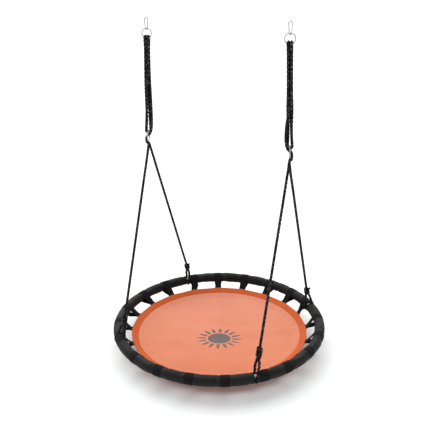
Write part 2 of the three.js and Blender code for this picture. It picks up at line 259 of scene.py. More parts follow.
def mat_material():
    shade = Shade(
        "mat_cloth",
        Roughness=0.62,
        Sheen_Weight=0.75,
        Sheen_Roughness=0.3,
        Sheen_Tint=rgb(1.0, 0.93, 0.90),
        Specular_IOR_Level=0.35,
    )
    place = shade.object_place(offset=tuple(-SEAT + BACKWARD * PRINT_FORWARD))
    parts = shade.node("SeparateXYZ", {0: place}).outputs
    wide = shade.noise(place, 5.0, 3.0)
    threads = shade.noise(shade.object_place(scale=(60, 900, 1)), 1.0, 2.0)
    cross = shade.noise(shade.object_place(scale=(900, 60, 1)), 1.0, 2.0)
    woven = shade.blend(threads, 0.5, cross, 0.5)
    weave_tone = shade.ramp(shade.blend(wide, 0.5, woven, 0.5), 0.38, 0.62)
    cloth_tone = shade.mix(weave_tone, rgb(0.535, 0.131, 0.042), rgb(0.600, 0.162, 0.060))
    painted_sheen_tone = shade.mix(weave_tone, rgb(0.580, 0.184, 0.098), rgb(0.645, 0.222, 0.130))
    # painted sheen: the cloth's colour is painted lighter and pinker towards the back, where a
    # sheen of light would fall
    depth = shade.blend(parts[0], BACKWARD[0], parts[1], BACKWARD[1])
    cloth = shade.mix(shade.ramp(depth, -0.36, 0.36), cloth_tone, painted_sheen_tone)
    # a plain sun print: a disc with sixteen rays
    c, s = math.cos(math.radians(PRINT_TURN)), math.sin(math.radians(PRINT_TURN))
    x = shade.blend(parts[0], c / PRINT_ASPECT, parts[1], s / PRINT_ASPECT)
    y = shade.blend(parts[1], c, parts[0], -s)
    reach = shade.math("SQRT", shade.blend(x, x, y, y))
    angle = shade.math("ARCTAN2", y, x)
    wave = shade.math("COSINE", shade.times(angle, 16.0))
    disc = shade.ramp(reach, 46 * MM, 44.5 * MM)
    tips = shade.ramp(reach, 90.5 * MM, 89 * MM)
    taper = shade.ramp(reach, 54 * MM, 88 * MM, -0.35, 0.95)
    inside = shade.ramp(shade.math("SUBTRACT", wave, taper), -0.04, 0.06)
    start = shade.ramp(reach, 53 * MM, 54.5 * MM)
    rays = shade.times(shade.times(inside, start), tips)
    print_mask = shade.math("MAXIMUM", disc, rays)
    worn = shade.ramp(shade.noise(place, 900.0, 2.0), 0.3, 0.42, 0.78, 0.96)
    # only the upper face is printed
    face = shade.node("SeparateXYZ", {0: shade.node("TexCoord").outputs["Normal"]}).outputs
    printed = shade.times(print_mask, shade.ramp(face[2], 0.1, 0.3))
    ink = shade.times(printed, worn)
    # the cloth colour here carries the painted sheen towards the back
    shade.colour(shade.mix(ink, cloth, rgb(0.075, 0.066, 0.068)))
    weave = woven_height(shade, shade.object_place(), 900, 900)
    fine = shade.bump(weave, 0.25 * MM, 0.6)
    shade.normal(shade.bump(woven, 0.3 * MM, 0.5, fine))
    return shade.material


def hem_material():
    shade = Shade(
        "hem_webbing",
        Roughness=0.78,
        Sheen_Weight=0.08,
        Sheen_Roughness=0.4,
        Sheen_Tint=rgb(1.0, 0.75, 0.6),
        Specular_IOR_Level=0.2,
    )
    tone = shade.noise(shade.uv_place((40, 700, 1)), 1.0, 3.0)
    wide = shade.noise(shade.object_place(), 9.0, 2.0)
    both = shade.ramp(shade.blend(tone, 0.6, wide, 0.4), 0.36, 0.64)
    shade.colour(shade.mix(both, rgb(0.485, 0.078, 0.0115), rgb(0.555, 0.099, 0.0185)))
    shade.normal(shade.bump(woven_height(shade, shade.uv_place(), 620, 900), 0.35 * MM, 0.7))
    return shade.material


def foam_material():
    shade = Shade(
        "sleeve_cloth",
        Roughness=0.5,
        Specular_IOR_Level=0.16,
    )
    wide = shade.noise(shade.object_place(), 14.0, 3.0)
    grain = shade.noise(shade.object_place(), 800.0, 2.0)
    both = shade.ramp(shade.blend(wide, 0.5, grain, 0.5), 0.36, 0.64)
    shade.colour(shade.mix(both, rgb(0.0068, 0.0066, 0.0066), rgb(0.0118, 0.0115, 0.0114)))
    shade.roughness(shade.ramp(wide, 0.3, 0.7, 0.52, 0.66))
    shade.normal(shade.bump(woven_height(shade, shade.uv_place(), 1100, 1100), 0.2 * MM, 0.5))
    return shade.material


def webbing_material():
    shade = Shade(
        "strap_webbing",
        Roughness=0.85,
        Specular_IOR_Level=0.15,
    )
    tone = shade.ramp(shade.noise(shade.uv_place((30, 500, 1)), 1.0, 3.0), 0.35, 0.65)
    shade.colour(shade.mix(tone, rgb(0.0036, 0.0036, 0.0039), rgb(0.0080, 0.0080, 0.0086)))
    shade.normal(shade.bump(woven_height(shade, shade.uv_place(), 560, 800), 0.5 * MM, 0.8))
    return shade.material


def rope_material():
    shade = Shade(
        "rope_braid",
        Roughness=0.6,
        Specular_IOR_Level=0.13,
    )
    fibres = shade.noise(shade.uv_place((260, 4200, 1)), 1.0, 3.0)
    spots = shade.noise(shade.object_place(), 110.0, 2.0)
    # painted highlight and shade: the crowns of the braid's strands are painted lighter as glints,
    # and the hollows between them darker as shade
    flow = shade.node("SeparateXYZ", {0: shade.uv_place()}).outputs
    along = shade.times(flow[0], math.pi / BRAID_LAY)
    around = shade.times(flow[1], BRAID_PAIRS / (2 * ROPE_RADIUS))
    left = shade.math("SINE", shade.math("ADD", around, along))
    right = shade.math("SINE", shade.math("SUBTRACT", around, along))
    painted_glint_and_shade = shade.math("ABSOLUTE", shade.times(left, right))
    painted_glint_and_shade = shade.times(painted_glint_and_shade, shade.ramp(spots, 0.36, 0.6, 0.15, 1.0))
    painted_glint_and_shade = shade.ramp(painted_glint_and_shade, 0.5, 1.0)
    # dark hollows in painted shade, light crowns as painted glints
    shade.colour(shade.mix(painted_glint_and_shade, rgb(0.0014, 0.0014, 0.0016), rgb(0.235, 0.235, 0.24)))
    shade.roughness(shade.ramp(fibres, 0.35, 0.7, 0.42, 0.62))
    shade.normal(shade.bump(fibres, 0.25 * MM, 0.7))
    return shade.material


def zinc_material():
    shade = Shade("zinc_plating", Metallic=1.0, Roughness=0.3)
    place = shade.object_place()
    cloudy = shade.noise(place, 120.0, 3.0)
    fine = shade.noise(place, 900.0, 2.0)
    dark, light = rgb(0.38, 0.385, 0.395), rgb(0.49, 0.495, 0.505)
    shade.colour(shade.mix(shade.ramp(cloudy, 0.35, 0.65), dark, light))
    shade.roughness(shade.ramp(cloudy, 0.3, 0.7, 0.24, 0.42))
    shade.normal(shade.bump(fine, 0.04 * MM, 0.4))
    return shade.material


def thread_material():
    shade = Shade("orange_thread", Roughness=0.6, Specular_IOR_Level=0.4)
    tone = shade.noise(shade.object_place(), 700.0, 2.0)
    share = shade.ramp(tone, 0.35, 0.65)
    shade.colour(shade.mix(share, rgb(0.5, 0.11, 0.03), rgb(0.66, 0.17, 0.06)))
    shade.normal(shade.bump(tone, 0.1 * MM, 0.5))
    return shade.material


MAT = mat_material()
HEM = hem_material()
SLEEVE = foam_material()
WEBBING = webbing_material()
ROPE = rope_material()
ZINC = zinc_material()
THREAD = thread_material()

# ---------- mesh helpers ----------


def add_object(name, points, faces, material, uvs=None, smooth=True):
    mesh = bpy.data.meshes.new(name)
    mesh.from_pydata(np.asarray(points).tolist(), [], faces)
    if uvs is not None:
        layer = mesh.uv_layers.new(name="flow")
        layer.data.foreach_set("uv", np.asarray(uvs, np.float32).ravel())
    if smooth:
        mesh.shade_smooth()
    mesh.materials.append(material)
    obj = bpy.data.objects.new(name, mesh)
    bpy.context.scene.collection.objects.link(obj)
    return obj


def skin(name, rings, material, along, around, loop=False):
    """A closed surface over rings of points, capped at both ends unless it loops. Each ring turns
    right-handed about the direction of the next. UVs run along and around, in metres."""
    n, m = rings.shape[:2]
    last = n if loop else n - 1
    i, j = np.meshgrid(np.arange(last), np.arange(m), indexing="ij")
    next_i, next_j = (i + 1) % n, (j + 1) % m
    quads = [i * m + j, i * m + next_j, next_i * m + next_j, next_i * m + j]
    faces = np.stack(quads, -1).reshape(-1, 4)
    u = np.stack([along[i], along[i], along[i + 1], along[i + 1]], -1)
    v = np.stack([around[j], around[j + 1], around[j + 1], around[j]], -1)
    uvs = np.stack([u, v], -1).reshape(-1, 2)
    faces = faces.tolist()
    if not loop:
        faces.append(list(range(m))[::-1])
        faces.append(list(range((n - 1) * m, n * m)))
        uvs = np.concatenate([uvs, np.zeros((2 * m, 2))])
    return add_object(name, rings.reshape(-1, 3), faces, material, uvs)


def distances(line):
    """How far along a line each of its points is."""
    return np.concatenate([[0], np.cumsum(np.linalg.norm(np.diff(line, axis=0), axis=1))])


def evenly(line, step):
    """The line again with points a step apart."""
    far = distances(line)
    at = np.linspace(0, far[-1], max(2, round(far[-1] / step) + 1))
    return np.stack([np.interp(at, far, line[:, k]) for k in range(3)], axis=1)


def smooth_line(points, step):
    """A centripetal Catmull-Rom curve through the points, with points a step apart."""
    p = np.array(points, float)
    p = np.vstack([2 * p[0] - p[1], p, 2 * p[-1] - p[-2]])
    t = np.concatenate([[0], np.cumsum(np.linalg.norm(np.diff(p, axis=0), axis=1) ** 0.5)])
    pieces = []
    for k in range(1, len(p) - 2):
        span = t[k + 1] - t[k]

        def slope(a, b, c):
            first = (p[b] - p[a]) / (t[b] - t[a])
            whole = (p[c] - p[a]) / (t[c] - t[a])
            second = (p[c] - p[b]) / (t[c] - t[b])
            return (first - whole + second) * span

        start, end = slope(k - 1, k, k + 1), slope(k, k + 1, k + 2)
        s = np.linspace(0, 1, 25)[:-1, None]
        pieces.append(
            (2 * s**3 - 3 * s**2 + 1) * p[k]
            + (s**3 - 2 * s**2 + s) * start
            + (3 * s**2 - 2 * s**3) * p[k + 1]
            + (s**3 - s**2) * end
        )
    pieces.append(p[-2][None])
    return evenly(np.vstack(pieces), step)


def carried_frames(line):
    """Normals and binormals of a line, carried along it without twist."""
    tangents = np.gradient(line, axis=0)
    tangents /= np.linalg.norm(tangents, axis=1)[:, None]
    first = np.cross(tangents[0], UP)
    if np.linalg.norm(first) < 0.1:
        first = np.cross(tangents[0], np.array([1.0, 0, 0]))
    normals = np.empty_like(line)
    normal = unit(first)
    for k, tangent in enumerate(tangents):
        normal = unit(normal - tangent * normal.dot(tangent))
        normals[k] = normal
    return normals, np.cross(tangents, normals)


def tube(name, line, radii, sides, material, loop=False):
    """A round tube along a line. radii has one radius for each point, or one for each side too."""
    normals, binormals = carried_frames(line)
    if loop:
        start, end = normals[0], normals[-1]
        slip = math.atan2(np.cross(end, start).dot(unit(line[1] - line[0])), end.dot(start))
        turn = (slip * np.arange(len(line)) / len(line))[:, None]
        normals, binormals = (
            normals * np.cos(turn) + binormals * np.sin(turn),
            binormals * np.cos(turn) - normals * np.sin(turn),
        )
    a = round_angles(sides)
    radii = np.broadcast_to(np.asarray(radii).reshape(len(line), -1), (len(line), sides))
    c, s = np.cos(a)[None, :, None], np.sin(a)[None, :, None]
    offset = normals[:, None] * c + binormals[:, None] * s
    rings = line[:, None] + offset * radii[..., None]
    along = distances(line)
    if loop:
        along = np.append(along, 2 * along[-1] - along[-2])
    around = np.arange(sides + 1) / sides * 2 * math.pi * float(np.median(radii))
    return skin(name, rings, material, along, around, loop)


# ---------- ropes ----------

BRAID_DEPTH = 1.6 * MM
BRAID_PROUD = 0.6 * MM  # the crowns stand this far outside the rope's mean radius
ROPE_STEP = 1.3 * MM
ROPE_SIDES = 30


def braid_height(along, turn, pairs, lay):
    """Height from 0 to 1 of a plain round braid: each strand goes over one and under one."""
    left = pairs * turn + along / lay
    right = pairs * turn - along / lay

    def ridge(x):
        return 1 - np.abs(2 * (x - np.floor(x)) - 1) ** 2.4

    over = np.cos(math.pi * (right - 0.5)) * np.where(np.floor(left) % 2 == 0, 1, -1)
    under = -np.cos(math.pi * (left - 0.5)) * np.where(np.floor(right) % 2 == 0, 1, -1)
    return np.maximum(ridge(left) * (0.55 + 0.45 * over), ridge(right) * (0.55 + 0.45 * under))


def braided_rope(name, line, radius, body):
    """A braided rope along a line of evenly spaced points, with rounded ends."""
    along = distances(line)
    turn = np.arange(ROPE_SIDES) / ROPE_SIDES
    scale = radius / ROPE_RADIUS
    height = braid_height(along[:, None], turn[None, :], BRAID_PAIRS, BRAID_LAY * scale)
    radii = radius + BRAID_PROUD * scale - BRAID_DEPTH * scale * (1 - height)
    near = np.clip(np.minimum(along, along[-1] - along) / radius, 0.0, 1.0)
    radii = radii * np.sqrt(np.maximum(1 - (1 - near) ** 2, 0.05))[:, None]
    rope = tube(name, line, radii, ROPE_SIDES, ROPE)
    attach(rope, body)
    return rope


ADJUSTER_FACING = direction(ADJUSTER_TURN)
ADJUSTER_ALONG = direction(ADJUSTER_TURN + 90)


def beside_adjuster(side, facing, across, height):
    place = np.array([ADJUSTER[side][0], 0.0, height])
    return place + ADJUSTER_FACING * (-side * facing) + ADJUSTER_ALONG * across


def tie_line(tie):
    """Where a leg's line starts on the frame's circle, where the legs meet, and its direction."""
    foot = direction(tie.leg_angle) * FRAME_RADIUS + SEAT
    split = ADJUSTER[1][2] - SPLIT_DROP[tie.side]
    head = beside_adjuster(tie.side, 0, tie.fore * STRAND_GAP, split)
    return foot, head, unit(head - foot)


def rising_place(fore):
    return (17 * MM, -5 * MM) if fore < 0 else (8.5 * MM, 5.2 * MM)


# the strands of a bundle draw together, make a quarter turn, and open to the two sides of the top
# ring's wire, each from one share of the way up to another
OUTER_GATHER = {-1: (0.04, 0.72), 1: (0.04, 0.55)}
INNER_GATHER = (0.03, 0.15)
QUARTER_TURN = {-1: (0.04, 0.9), 1: (0.14, 0.58)}
RING_OPENING = (0.9, 1)


def smooth_step(value, low, high):
    share = min(1.0, max(0.0, (value - low) / (high - low)))
    return share * share * (3 - 2 * share)


def turned(place, degrees):
    c, s = math.cos(math.radians(degrees)), math.sin(math.radians(degrees))
    return np.array([place[0] * c - place[1] * s, place[0] * s + place[1] * c, place[2]])


def bundle_point(side, fore, rising, rise):
    """A place in the bundle between adjuster (rise 0) and top ring (rise 1). The four strands draw
    together above the adjuster, make a quarter turn and open to both sides of the ring's wire."""
    facing, across = rising_place(fore) if rising else (-STRAND_REACH + 2 * MM, fore * STRAND_GAP)
    together = smooth_step(rise, *(OUTER_GATHER[side] if rising and fore < 0 else INNER_GATHER))
    facing += ((STRAND_GAP if rising else -STRAND_GAP) - facing) * together
    across += (fore * STRAND_GAP - across) * together
    place = ADJUSTER_FACING * (-side * facing) + ADJUSTER_ALONG * across
    place = turned(place, (90 - ADJUSTER_TURN + RING_TURN) * smooth_step(rise, *QUARTER_TURN[side]))
    top = np.array([-fore * STRAND_GAP, (-side if rising else side) * STRAND_REACH, 0.0])
    opened = smooth_step(rise, *RING_OPENING)
    place = place * (1 - opened) + turned(top, RING_TURN) * opened
    place[0] += ADJUSTER[side][0] * (1 - rise) + RING_CENTRE[side][0] * rise
    place[2] = HIGH_WIRE + (RING_BOTTOM - HIGH_WIRE) * rise
    return place


# how far to the adjuster's face and how far above its lower wire a leg goes as it bends round it
LEG_BEND = [
    (-2, -9.2), (-7.4, -5.6), (-9.8, 3.5), (-9.9, 13.5), (-6.5, 23.5), (0, 29.5), (6.5, 36.5),
]


def rope_route(tie):
    foot, head, up = tie_line(tie)
    side, fore = tie.side, tie.fore
    bottom = foot + up * tie.knot_at
    points = [bottom + (head - bottom) * t for t in (0, 0.2, 0.4, 0.6, 0.8, 0.96)]
    across = fore * STRAND_GAP
    for facing, rise in LEG_BEND:
        points.append(beside_adjuster(side, facing * MM, across, LOW_WIRE + rise * MM))
    top_facing, top_across = rising_place(fore)
    for share, height in ((0.35, HIGH_WIRE - 5 * MM), (0.7, HIGH_WIRE + 5 * MM), (1, LEG_TOP)):
        facing = 9.4 * MM * (1 - share) + top_facing * share
        place = across * (1 - share) + top_across * share
        points.append(beside_adjuster(side, facing, place, height))
    rises = [0.1, 0.2, 0.3, 0.4, 0.5, 0.6, 0.75, 0.9, 0.96]
    points += [bundle_point(side, fore, True, rise) for rise in rises]
    for k in range(7):
        a = math.pi * k / 6
        share = (1 - math.cos(a)) / 2
        rising, falling = (bundle_point(side, fore, up, 1) for up in (True, False))
        over = rising * (1 - share) + falling * share
        points.append(over + UP * STRAND_REACH * math.sin(a))
    points += [bundle_point(side, fore, False, rise) for rise in rises[::-1]]
    points.append(bundle_point(side, fore, False, 0.03))
    reach = ROPE_RADIUS + WIRE + HITCH_CLEARANCE
    for degrees in (195, 225, 250, 275):
        a = math.radians(degrees)
        height = HIGH_WIRE + reach * math.sin(a)
        points.append(beside_adjuster(side, reach * math.cos(a), across, height))
    return smooth_line(points, ROPE_STEP)


def add_ropes():
    for tie in TIES:
        line = rope_route(tie)
        rope = braided_rope(f"rope_{tie.name}", line, ROPE_RADIUS, ROPE_BODY[tie.side])
        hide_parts(f"rope_leg_{tie.name}", f"rope_upper_{tie.name}")


def perpendicular_pair(axis, toward):
    first = unit(toward - axis * toward.dot(axis))
    return first, np.cross(axis, first)


WRAP_RADIUS = 4.3 * MM
WRAP_REACH = 9.2 * MM
WRAP_RISE = 37.5 * MM  # in one turn, as the rope's end comes into the wraps


def add_knots():
    """Each knot is the rope's own end wound back round itself, with a short tail."""
    for tie in TIES:
        foot, _, up = tie_line(tie)
        first, second = perpendicular_pair(up, direction(tie.angle + 90))
        low = tie.knot_at - tie.knot_length / 2 + WRAP_RADIUS
        high = tie.knot_at + tie.knot_length / 2 - WRAP_RADIUS
        turns = (high - low) / (2 * WRAP_RADIUS * 0.97)
        points = []

        def add_point(rise, a, swell):
            outward = first * math.cos(a) + second * math.sin(a)
            points.append(foot + up * rise + outward * WRAP_REACH * swell)
            return outward

        # from beside the loop's strand into the first turn
        for share in (-0.16, -0.08):
            add_point(low + WRAP_RISE * share, 2 * math.pi * share, 1 + 2.5 * share)
        count = int(turns * 14)
        for k in range(count + 1):
            share = k / count
            a = 2 * math.pi * turns * share
            swell = 1 + 0.05 * math.sin(math.pi * share) + 0.02 * math.sin(5 * a / 3 + tie.angle)
            outward = add_point(low + (high - low) * share, a, swell)
        # the tail leans outward and up
        onward = second * math.cos(a) - first * math.sin(a)
        end = points[-1]
        for ahead, out, rise in ((5, 1, 0.5), (10, 1.5, 3), (14, 1.5, 8)):
            points.append(end + onward * ahead * MM + outward * out * MM + up * rise * MM)
        line = smooth_line(points, 1.1 * MM)
        knot = braided_rope(f"knot_wraps_{tie.name}", line, WRAP_RADIUS, ROPE_BODY[tie.side])
        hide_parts(f"knot_{tie.name}")


EYE = 5 * MM
EYE_START = 20 * MM  # above the tube's middle


def add_loops():
    """Each loop passes under the bare tube, and its two strands rise into the knot."""
    for tie in TIES:
        leg_foot, _, up = tie_line(tie)
        foot = direction(tie.angle) * FRAME_RADIUS + SEAT
        rise = leg_foot + up * (tie.knot_at - tie.knot_length / 2) - foot
        outward, along = direction(tie.angle), direction(tie.angle + 90)
        flat = rise - along * rise.dot(along)
        neck = np.linalg.norm(flat)
        lean = rise.dot(along) / neck
        flat = flat / neck
        sideways = unit(outward - flat * outward.dot(flat))
        wrap = STEEL_RADIUS + LOOP_CLEARANCE + ROPE_RADIUS

        def flat_point(x, y):
            # half way up, the two strands twist apart along the tube and open like an eye
            share = min(1, max(0, (y - EYE_START) / (neck - EYE_START)))
            eye = EYE * math.copysign(math.sin(math.pi * share), x)
            shift = max(0, y) * lean - tie.side * tie.fore * eye
            return foot + sideways * x + flat * y + along * shift

        touch = math.atan2(neck, STRAND_GAP) - math.acos(wrap / math.hypot(neck, STRAND_GAP))
        strand = []
        for k in (0, 1, 2):
            strand.append((STRAND_GAP + 2 * MM + 3 * MM * k, neck * (1 - 0.22 * (k + 1))))
        points = [flat_point(3.5 * MM, neck + 12 * MM), flat_point(STRAND_GAP, neck)]
        points += [flat_point(x, y) for x, y in strand]
        for k in range(17):
            a = touch - (math.pi + 2 * touch) * k / 16
            points.append(flat_point(wrap * math.cos(a), wrap * math.sin(a)))
        points += [flat_point(-x, y) for x, y in strand[::-1]]
        points += [flat_point(-STRAND_GAP, neck), flat_point(-3.5 * MM, neck + 12 * MM)]
        line = smooth_line(points, ROPE_STEP)
        loop = braided_rope(f"tie_loop_{tie.name}", line, ROPE_RADIUS, "seat")
        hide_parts(f"rope_loop_{tie.name}")


add_ropes()
add_knots()
add_loops()

# ---------- rings, hooks and the steel tube ----------


def add_ring(name, node, body, radius, normal, weld_at):
    """A welded wire ring: the wire swells a little at its weld."""
    count = 120
    first, second = perpendicular_pair(normal, UP)
    a = round_angles(count)
    line = centre_of(node) + radius * (np.cos(a)[:, None] * first + np.sin(a)[:, None] * second)
    away = np.abs((a - weld_at + math.pi) % (2 * math.pi) - math.pi) * radius
    bead = np.exp(-((away / (1.6 * MM)) ** 2))
    neck = np.exp(-(((away - 3 * MM) / (0.9 * MM)) ** 2))
    radii = WIRE * (1 + 0.13 * bead - 0.05 * neck)
    ring = tube(name, line, radii, 20, ZINC, loop=True)
    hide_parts(node)
    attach(ring, body)


def add_hook(side, label):
    """A snap hook: one bent wire with a foot that holds the gate's pin, and a notched nose."""
    broad = direction(HOOK_TURN[side])
    across = np.cross(broad, UP)
    wire_top = WIRE
    wire_bottom = wire_top + 2 * WIRE - HOOK_LENGTH
    top, bottom = wire_top - HOOK_TOP, wire_bottom + HOOK_BOTTOM
    lean = math.asin((HOOK_TOP - HOOK_BOTTOM) / (top - bottom))
    origin = np.array([RING_CENTRE[side][0], 0.0, 0.0])

    def on_bow(centre, radius, a):
        return origin + broad * radius * math.cos(a) + UP * (centre + radius * math.sin(a))

    foot_start = on_bow(bottom, HOOK_BOTTOM, -lean)
    nose = on_bow(top, HOOK_TOP, -lean)
    gate_line = unit(nose - foot_start)
    points = [foot_start + gate_line * HOOK_FOOT]
    for k in range(17):
        points.append(on_bow(bottom, HOOK_BOTTOM, -lean - (math.pi - 2 * lean) * k / 16))
    start, end = math.pi + lean, 0.5 * MM / HOOK_TOP - lean
    for k in range(19):
        points.append(on_bow(top, HOOK_TOP, start + (end - start) * k / 18))
    line = smooth_line(points, HOOK_STEP)
    far = np.arange(len(line)) * HOOK_STEP
    from_end = np.minimum(far, far[-1] - far)
    radii = WIRE * np.where(from_end < 0.9 * MM, 0.88, 1.0)
    hook = tube(f"snap_hook_{label}", line, radii, 18, ZINC)
    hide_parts(f"hook_{label}")
    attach(hook, "root")

    hinge = foot_start + gate_line * (HOOK_FOOT + GATE_CLEARANCE)
    length = np.linalg.norm(nose - hinge)
    reach = length / MM
    rises = np.array([0, 0.6, 2.0, 4.5, 5.2, reach - 5, reach - 3.6, reach - 0.9, reach]) * MM
    gate_radii = np.array([1.4, 2.15, 2.25, 2.25, 1.85, 1.85, 2.25, 2.25, 1.5]) * MM
    fine = np.linspace(0, length, 60)
    line = hinge + gate_line * fine[:, None]
    gate = tube(f"snap_gate_{label}", line, np.interp(fine, rises, gate_radii), 18, ZINC)
    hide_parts(f"gate_{label}")
    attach(gate, f"gate_{label}")

    pin_at = hinge + gate_line * 2.3 * MM
    stretch = np.linspace(-3.0, 3.0, 13) * MM
    pin_radii = np.where(np.abs(stretch) > 2.3 * MM, 1.35 * MM, 1.0 * MM)
    pin_radii[[0, -1]] = 0.9 * MM
    pin = tube(f"hinge_pin_{label}", pin_at + across * stretch[:, None], pin_radii, 14, ZINC)
    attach(pin, f"gate_{label}")


def add_steel_tube():
    count = 360
    a = round_angles(count)
    line = about_seat(FRAME_RADIUS, a, 0)
    steel = tube("frame_tube", line, np.full(count, STEEL_RADIUS), 32, ZINC, loop=True)
    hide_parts(*[f"steel_tube_{tie.name}" for tie in TIES])
    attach(steel, "seat")


for side, label in LABELS.items():
    node = f"top_ring_{label}"
    facing = direction(90 + RING_TURN)
    add_ring(f"suspension_ring_{label}", node, f"ring_{label}", RING_RADIUS, facing, 2.2)
    node = f"adjuster_ring_{label}"
    facing = direction(ADJUSTER_TURN)
    add_ring(f"adjusting_ring_{label}", node, f"rope_{label}", ADJUSTER_RADIUS, facing, 1.3)
    add_hook(side, label)
add_steel_tube()

# ---------- cloth simulation ----------


def settle(obj, frames, reach, pinned, shrink, stiffness, bending, pressure=0.0, gravity=0.0):
    """Runs a short cloth simulation and keeps its result, with no point moved further than reach.
    pinned says from 0 to 1 how firmly each point is held."""
    group = obj.vertex_groups.new(name="pinned")
    pinned = np.round(pinned, 2)
    for value in np.unique(pinned[pinned > 0]):
        group.add(np.nonzero(pinned == value)[0].tolist(), float(value), "REPLACE")
    before = np.array([v.co for v in obj.data.vertices])
    cloth = obj.modifiers.new("cloth", "CLOTH")
    settings = cloth.settings
    settings.quality = 6
    settings.mass = 0.15
    settings.tension_stiffness = stiffness
    settings.compression_stiffness = stiffness
    settings.shear_stiffness = stiffness / 3
    settings.bending_stiffness = bending
    settings.tension_damping = 5
    settings.air_damping = 2
    settings.effector_weights.gravity = gravity
    settings.shrink_min = shrink
    cloth.collision_settings.use_collision = False
    if pressure:
        settings.use_pressure = True
        settings.uniform_pressure_force = pressure
    settings.vertex_group_mass = group.name
    settings.pin_stiffness = 20
    cloth.point_cache.frame_start = 1
    cloth.point_cache.frame_end = frames
    scene = bpy.context.scene
    for k in range(1, frames + 1):
        scene.frame_set(k)
    evaluated = obj.evaluated_get(bpy.context.evaluated_depsgraph_get())
    after = np.array([v.co for v in evaluated.data.vertices])
    obj.modifiers.remove(cloth)
    scene.frame_set(1)
    move = after - before
    far = np.linalg.norm(move, axis=1)
    move *= np.minimum(1, reach / np.maximum(far, 1e-9))[:, None]
    obj.data.vertices.foreach_set("co", (before + move).ravel())
    obj.vertex_groups.remove(group)
    obj.data.update()
    print(obj.name, "settled, furthest", round(float(far.max()) / MM, 2), "mm")


def subdivide(obj):
    made = obj.modifiers.new("smooth", "SUBSURF")
    made.levels = made.render_levels = 1


# ---------- padded sleeves ----------


def strap_mat_angle(i):
    return STRAP_START + 360 / STRAPS * i


# radii of the foam before it swells: where it is free, under a strap, at its ends and its bore
FREE_FOAM = 23.6 * MM
UNDER_STRAP = 22.9 * MM
BORE = 14.4 * MM
END_FACE = BORE + 1 * MM
END_ROUND = 9 * MM  # how far along the tube an end is rounded
SLEEVE_SIDES = 32
BORE_RINGS = 40


def tube_rings(angles, radii):
    """Rings of points round the frame's tube at those angles, turning right-handed about it."""
    turn = round_angles(SLEEVE_SIDES)
    a = np.radians(angles)[:, None]
    out = FRAME_RADIUS + radii * np.cos(turn)
    return about_seat(out, a, -radii * np.sin(turn))


def add_sleeves():
    turn = round_angles(SLEEVE_SIDES)
    for k, tie in enumerate(TIES):
        gap = math.degrees(TIE_GAP_HALF / FRAME_RADIUS)
        start = tie.angle + gap
        end = TIES[(k + 1) % 4].angle + (360 if k == 3 else 0) - gap
        length = math.radians(end - start) * FRAME_RADIUS
        near_end = np.linspace(0, END_ROUND, 7)[:-1]
        middle = np.linspace(END_ROUND, length - END_ROUND, 148)
        far = np.concatenate([near_end, middle, length - near_end[::-1]])
        angles = start + np.degrees(far / FRAME_RADIUS)
        squeeze = np.zeros(len(far))
        for i in range(STRAPS):
            away = (angles - STRAP_ANGLES[i] + 180) % 360 - 180
            across = np.abs(np.radians(away)) * FRAME_RADIUS
            under = np.clip(1 - (across - STRAP_AT_FRAME / 2) / (4 * MM), 0, 1)
            squeeze = np.maximum(squeeze, under)
        from_end = np.minimum(far, length - far)
        close = np.clip(from_end / END_ROUND, 0, 1)
        rounded = END_FACE + (FREE_FOAM - END_FACE) * np.sqrt(1 - (1 - close) ** 2)
        body = UNDER_STRAP * squeeze + FREE_FOAM * (1 - squeeze)
        radii = np.minimum(rounded, body)[:, None] * np.ones(SLEEVE_SIDES)
        gathers = np.clip(1 - (from_end - 4 * MM) / (16 * MM), 0, 1) * (0.35 + 0.65 * close)
        folds = np.cos(14 * turn + 1.3 * np.sin(3 * turn + k))
        radii = radii + (gathers[:, None] * 0.5 * MM) * folds
        outer = tube_rings(angles, radii)
        bore_angles = np.linspace(end, start, BORE_RINGS)
        bore = tube_rings(bore_angles, np.full((BORE_RINGS, SLEEVE_SIDES), BORE))
        rings = np.concatenate([outer, bore])
        back = np.arange(BORE_RINGS + 1) * length / BORE_RINGS
        along = np.concatenate([far, length + 10 * MM + back])
        around = np.arange(SLEEVE_SIDES + 1) / SLEEVE_SIDES * 2 * math.pi * FOAM_RADIUS
        sleeve = skin(f"padded_sleeve_{k + 1}", rings, SLEEVE, along, around, loop=True)
        pinned = np.concatenate([np.maximum(squeeze, close < 0.99), np.ones(BORE_RINGS)])
        held = np.repeat(pinned, SLEEVE_SIDES)
        firmness = {"shrink": -0.03, "stiffness": 12.0, "bending": 0.1}
        settle(sleeve, 20, 2.6 * MM, held, pressure=4.0, **firmness)
        subdivide(sleeve)
        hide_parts(f"foam_sleeve_{k + 1}")
        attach(sleeve, "seat")


# ---------- mat and hem ----------


def mat_height(r):
    return -HEM_INNER_DROP - MAT_SAG * (1 - (r / HEM_INNER) ** 2)


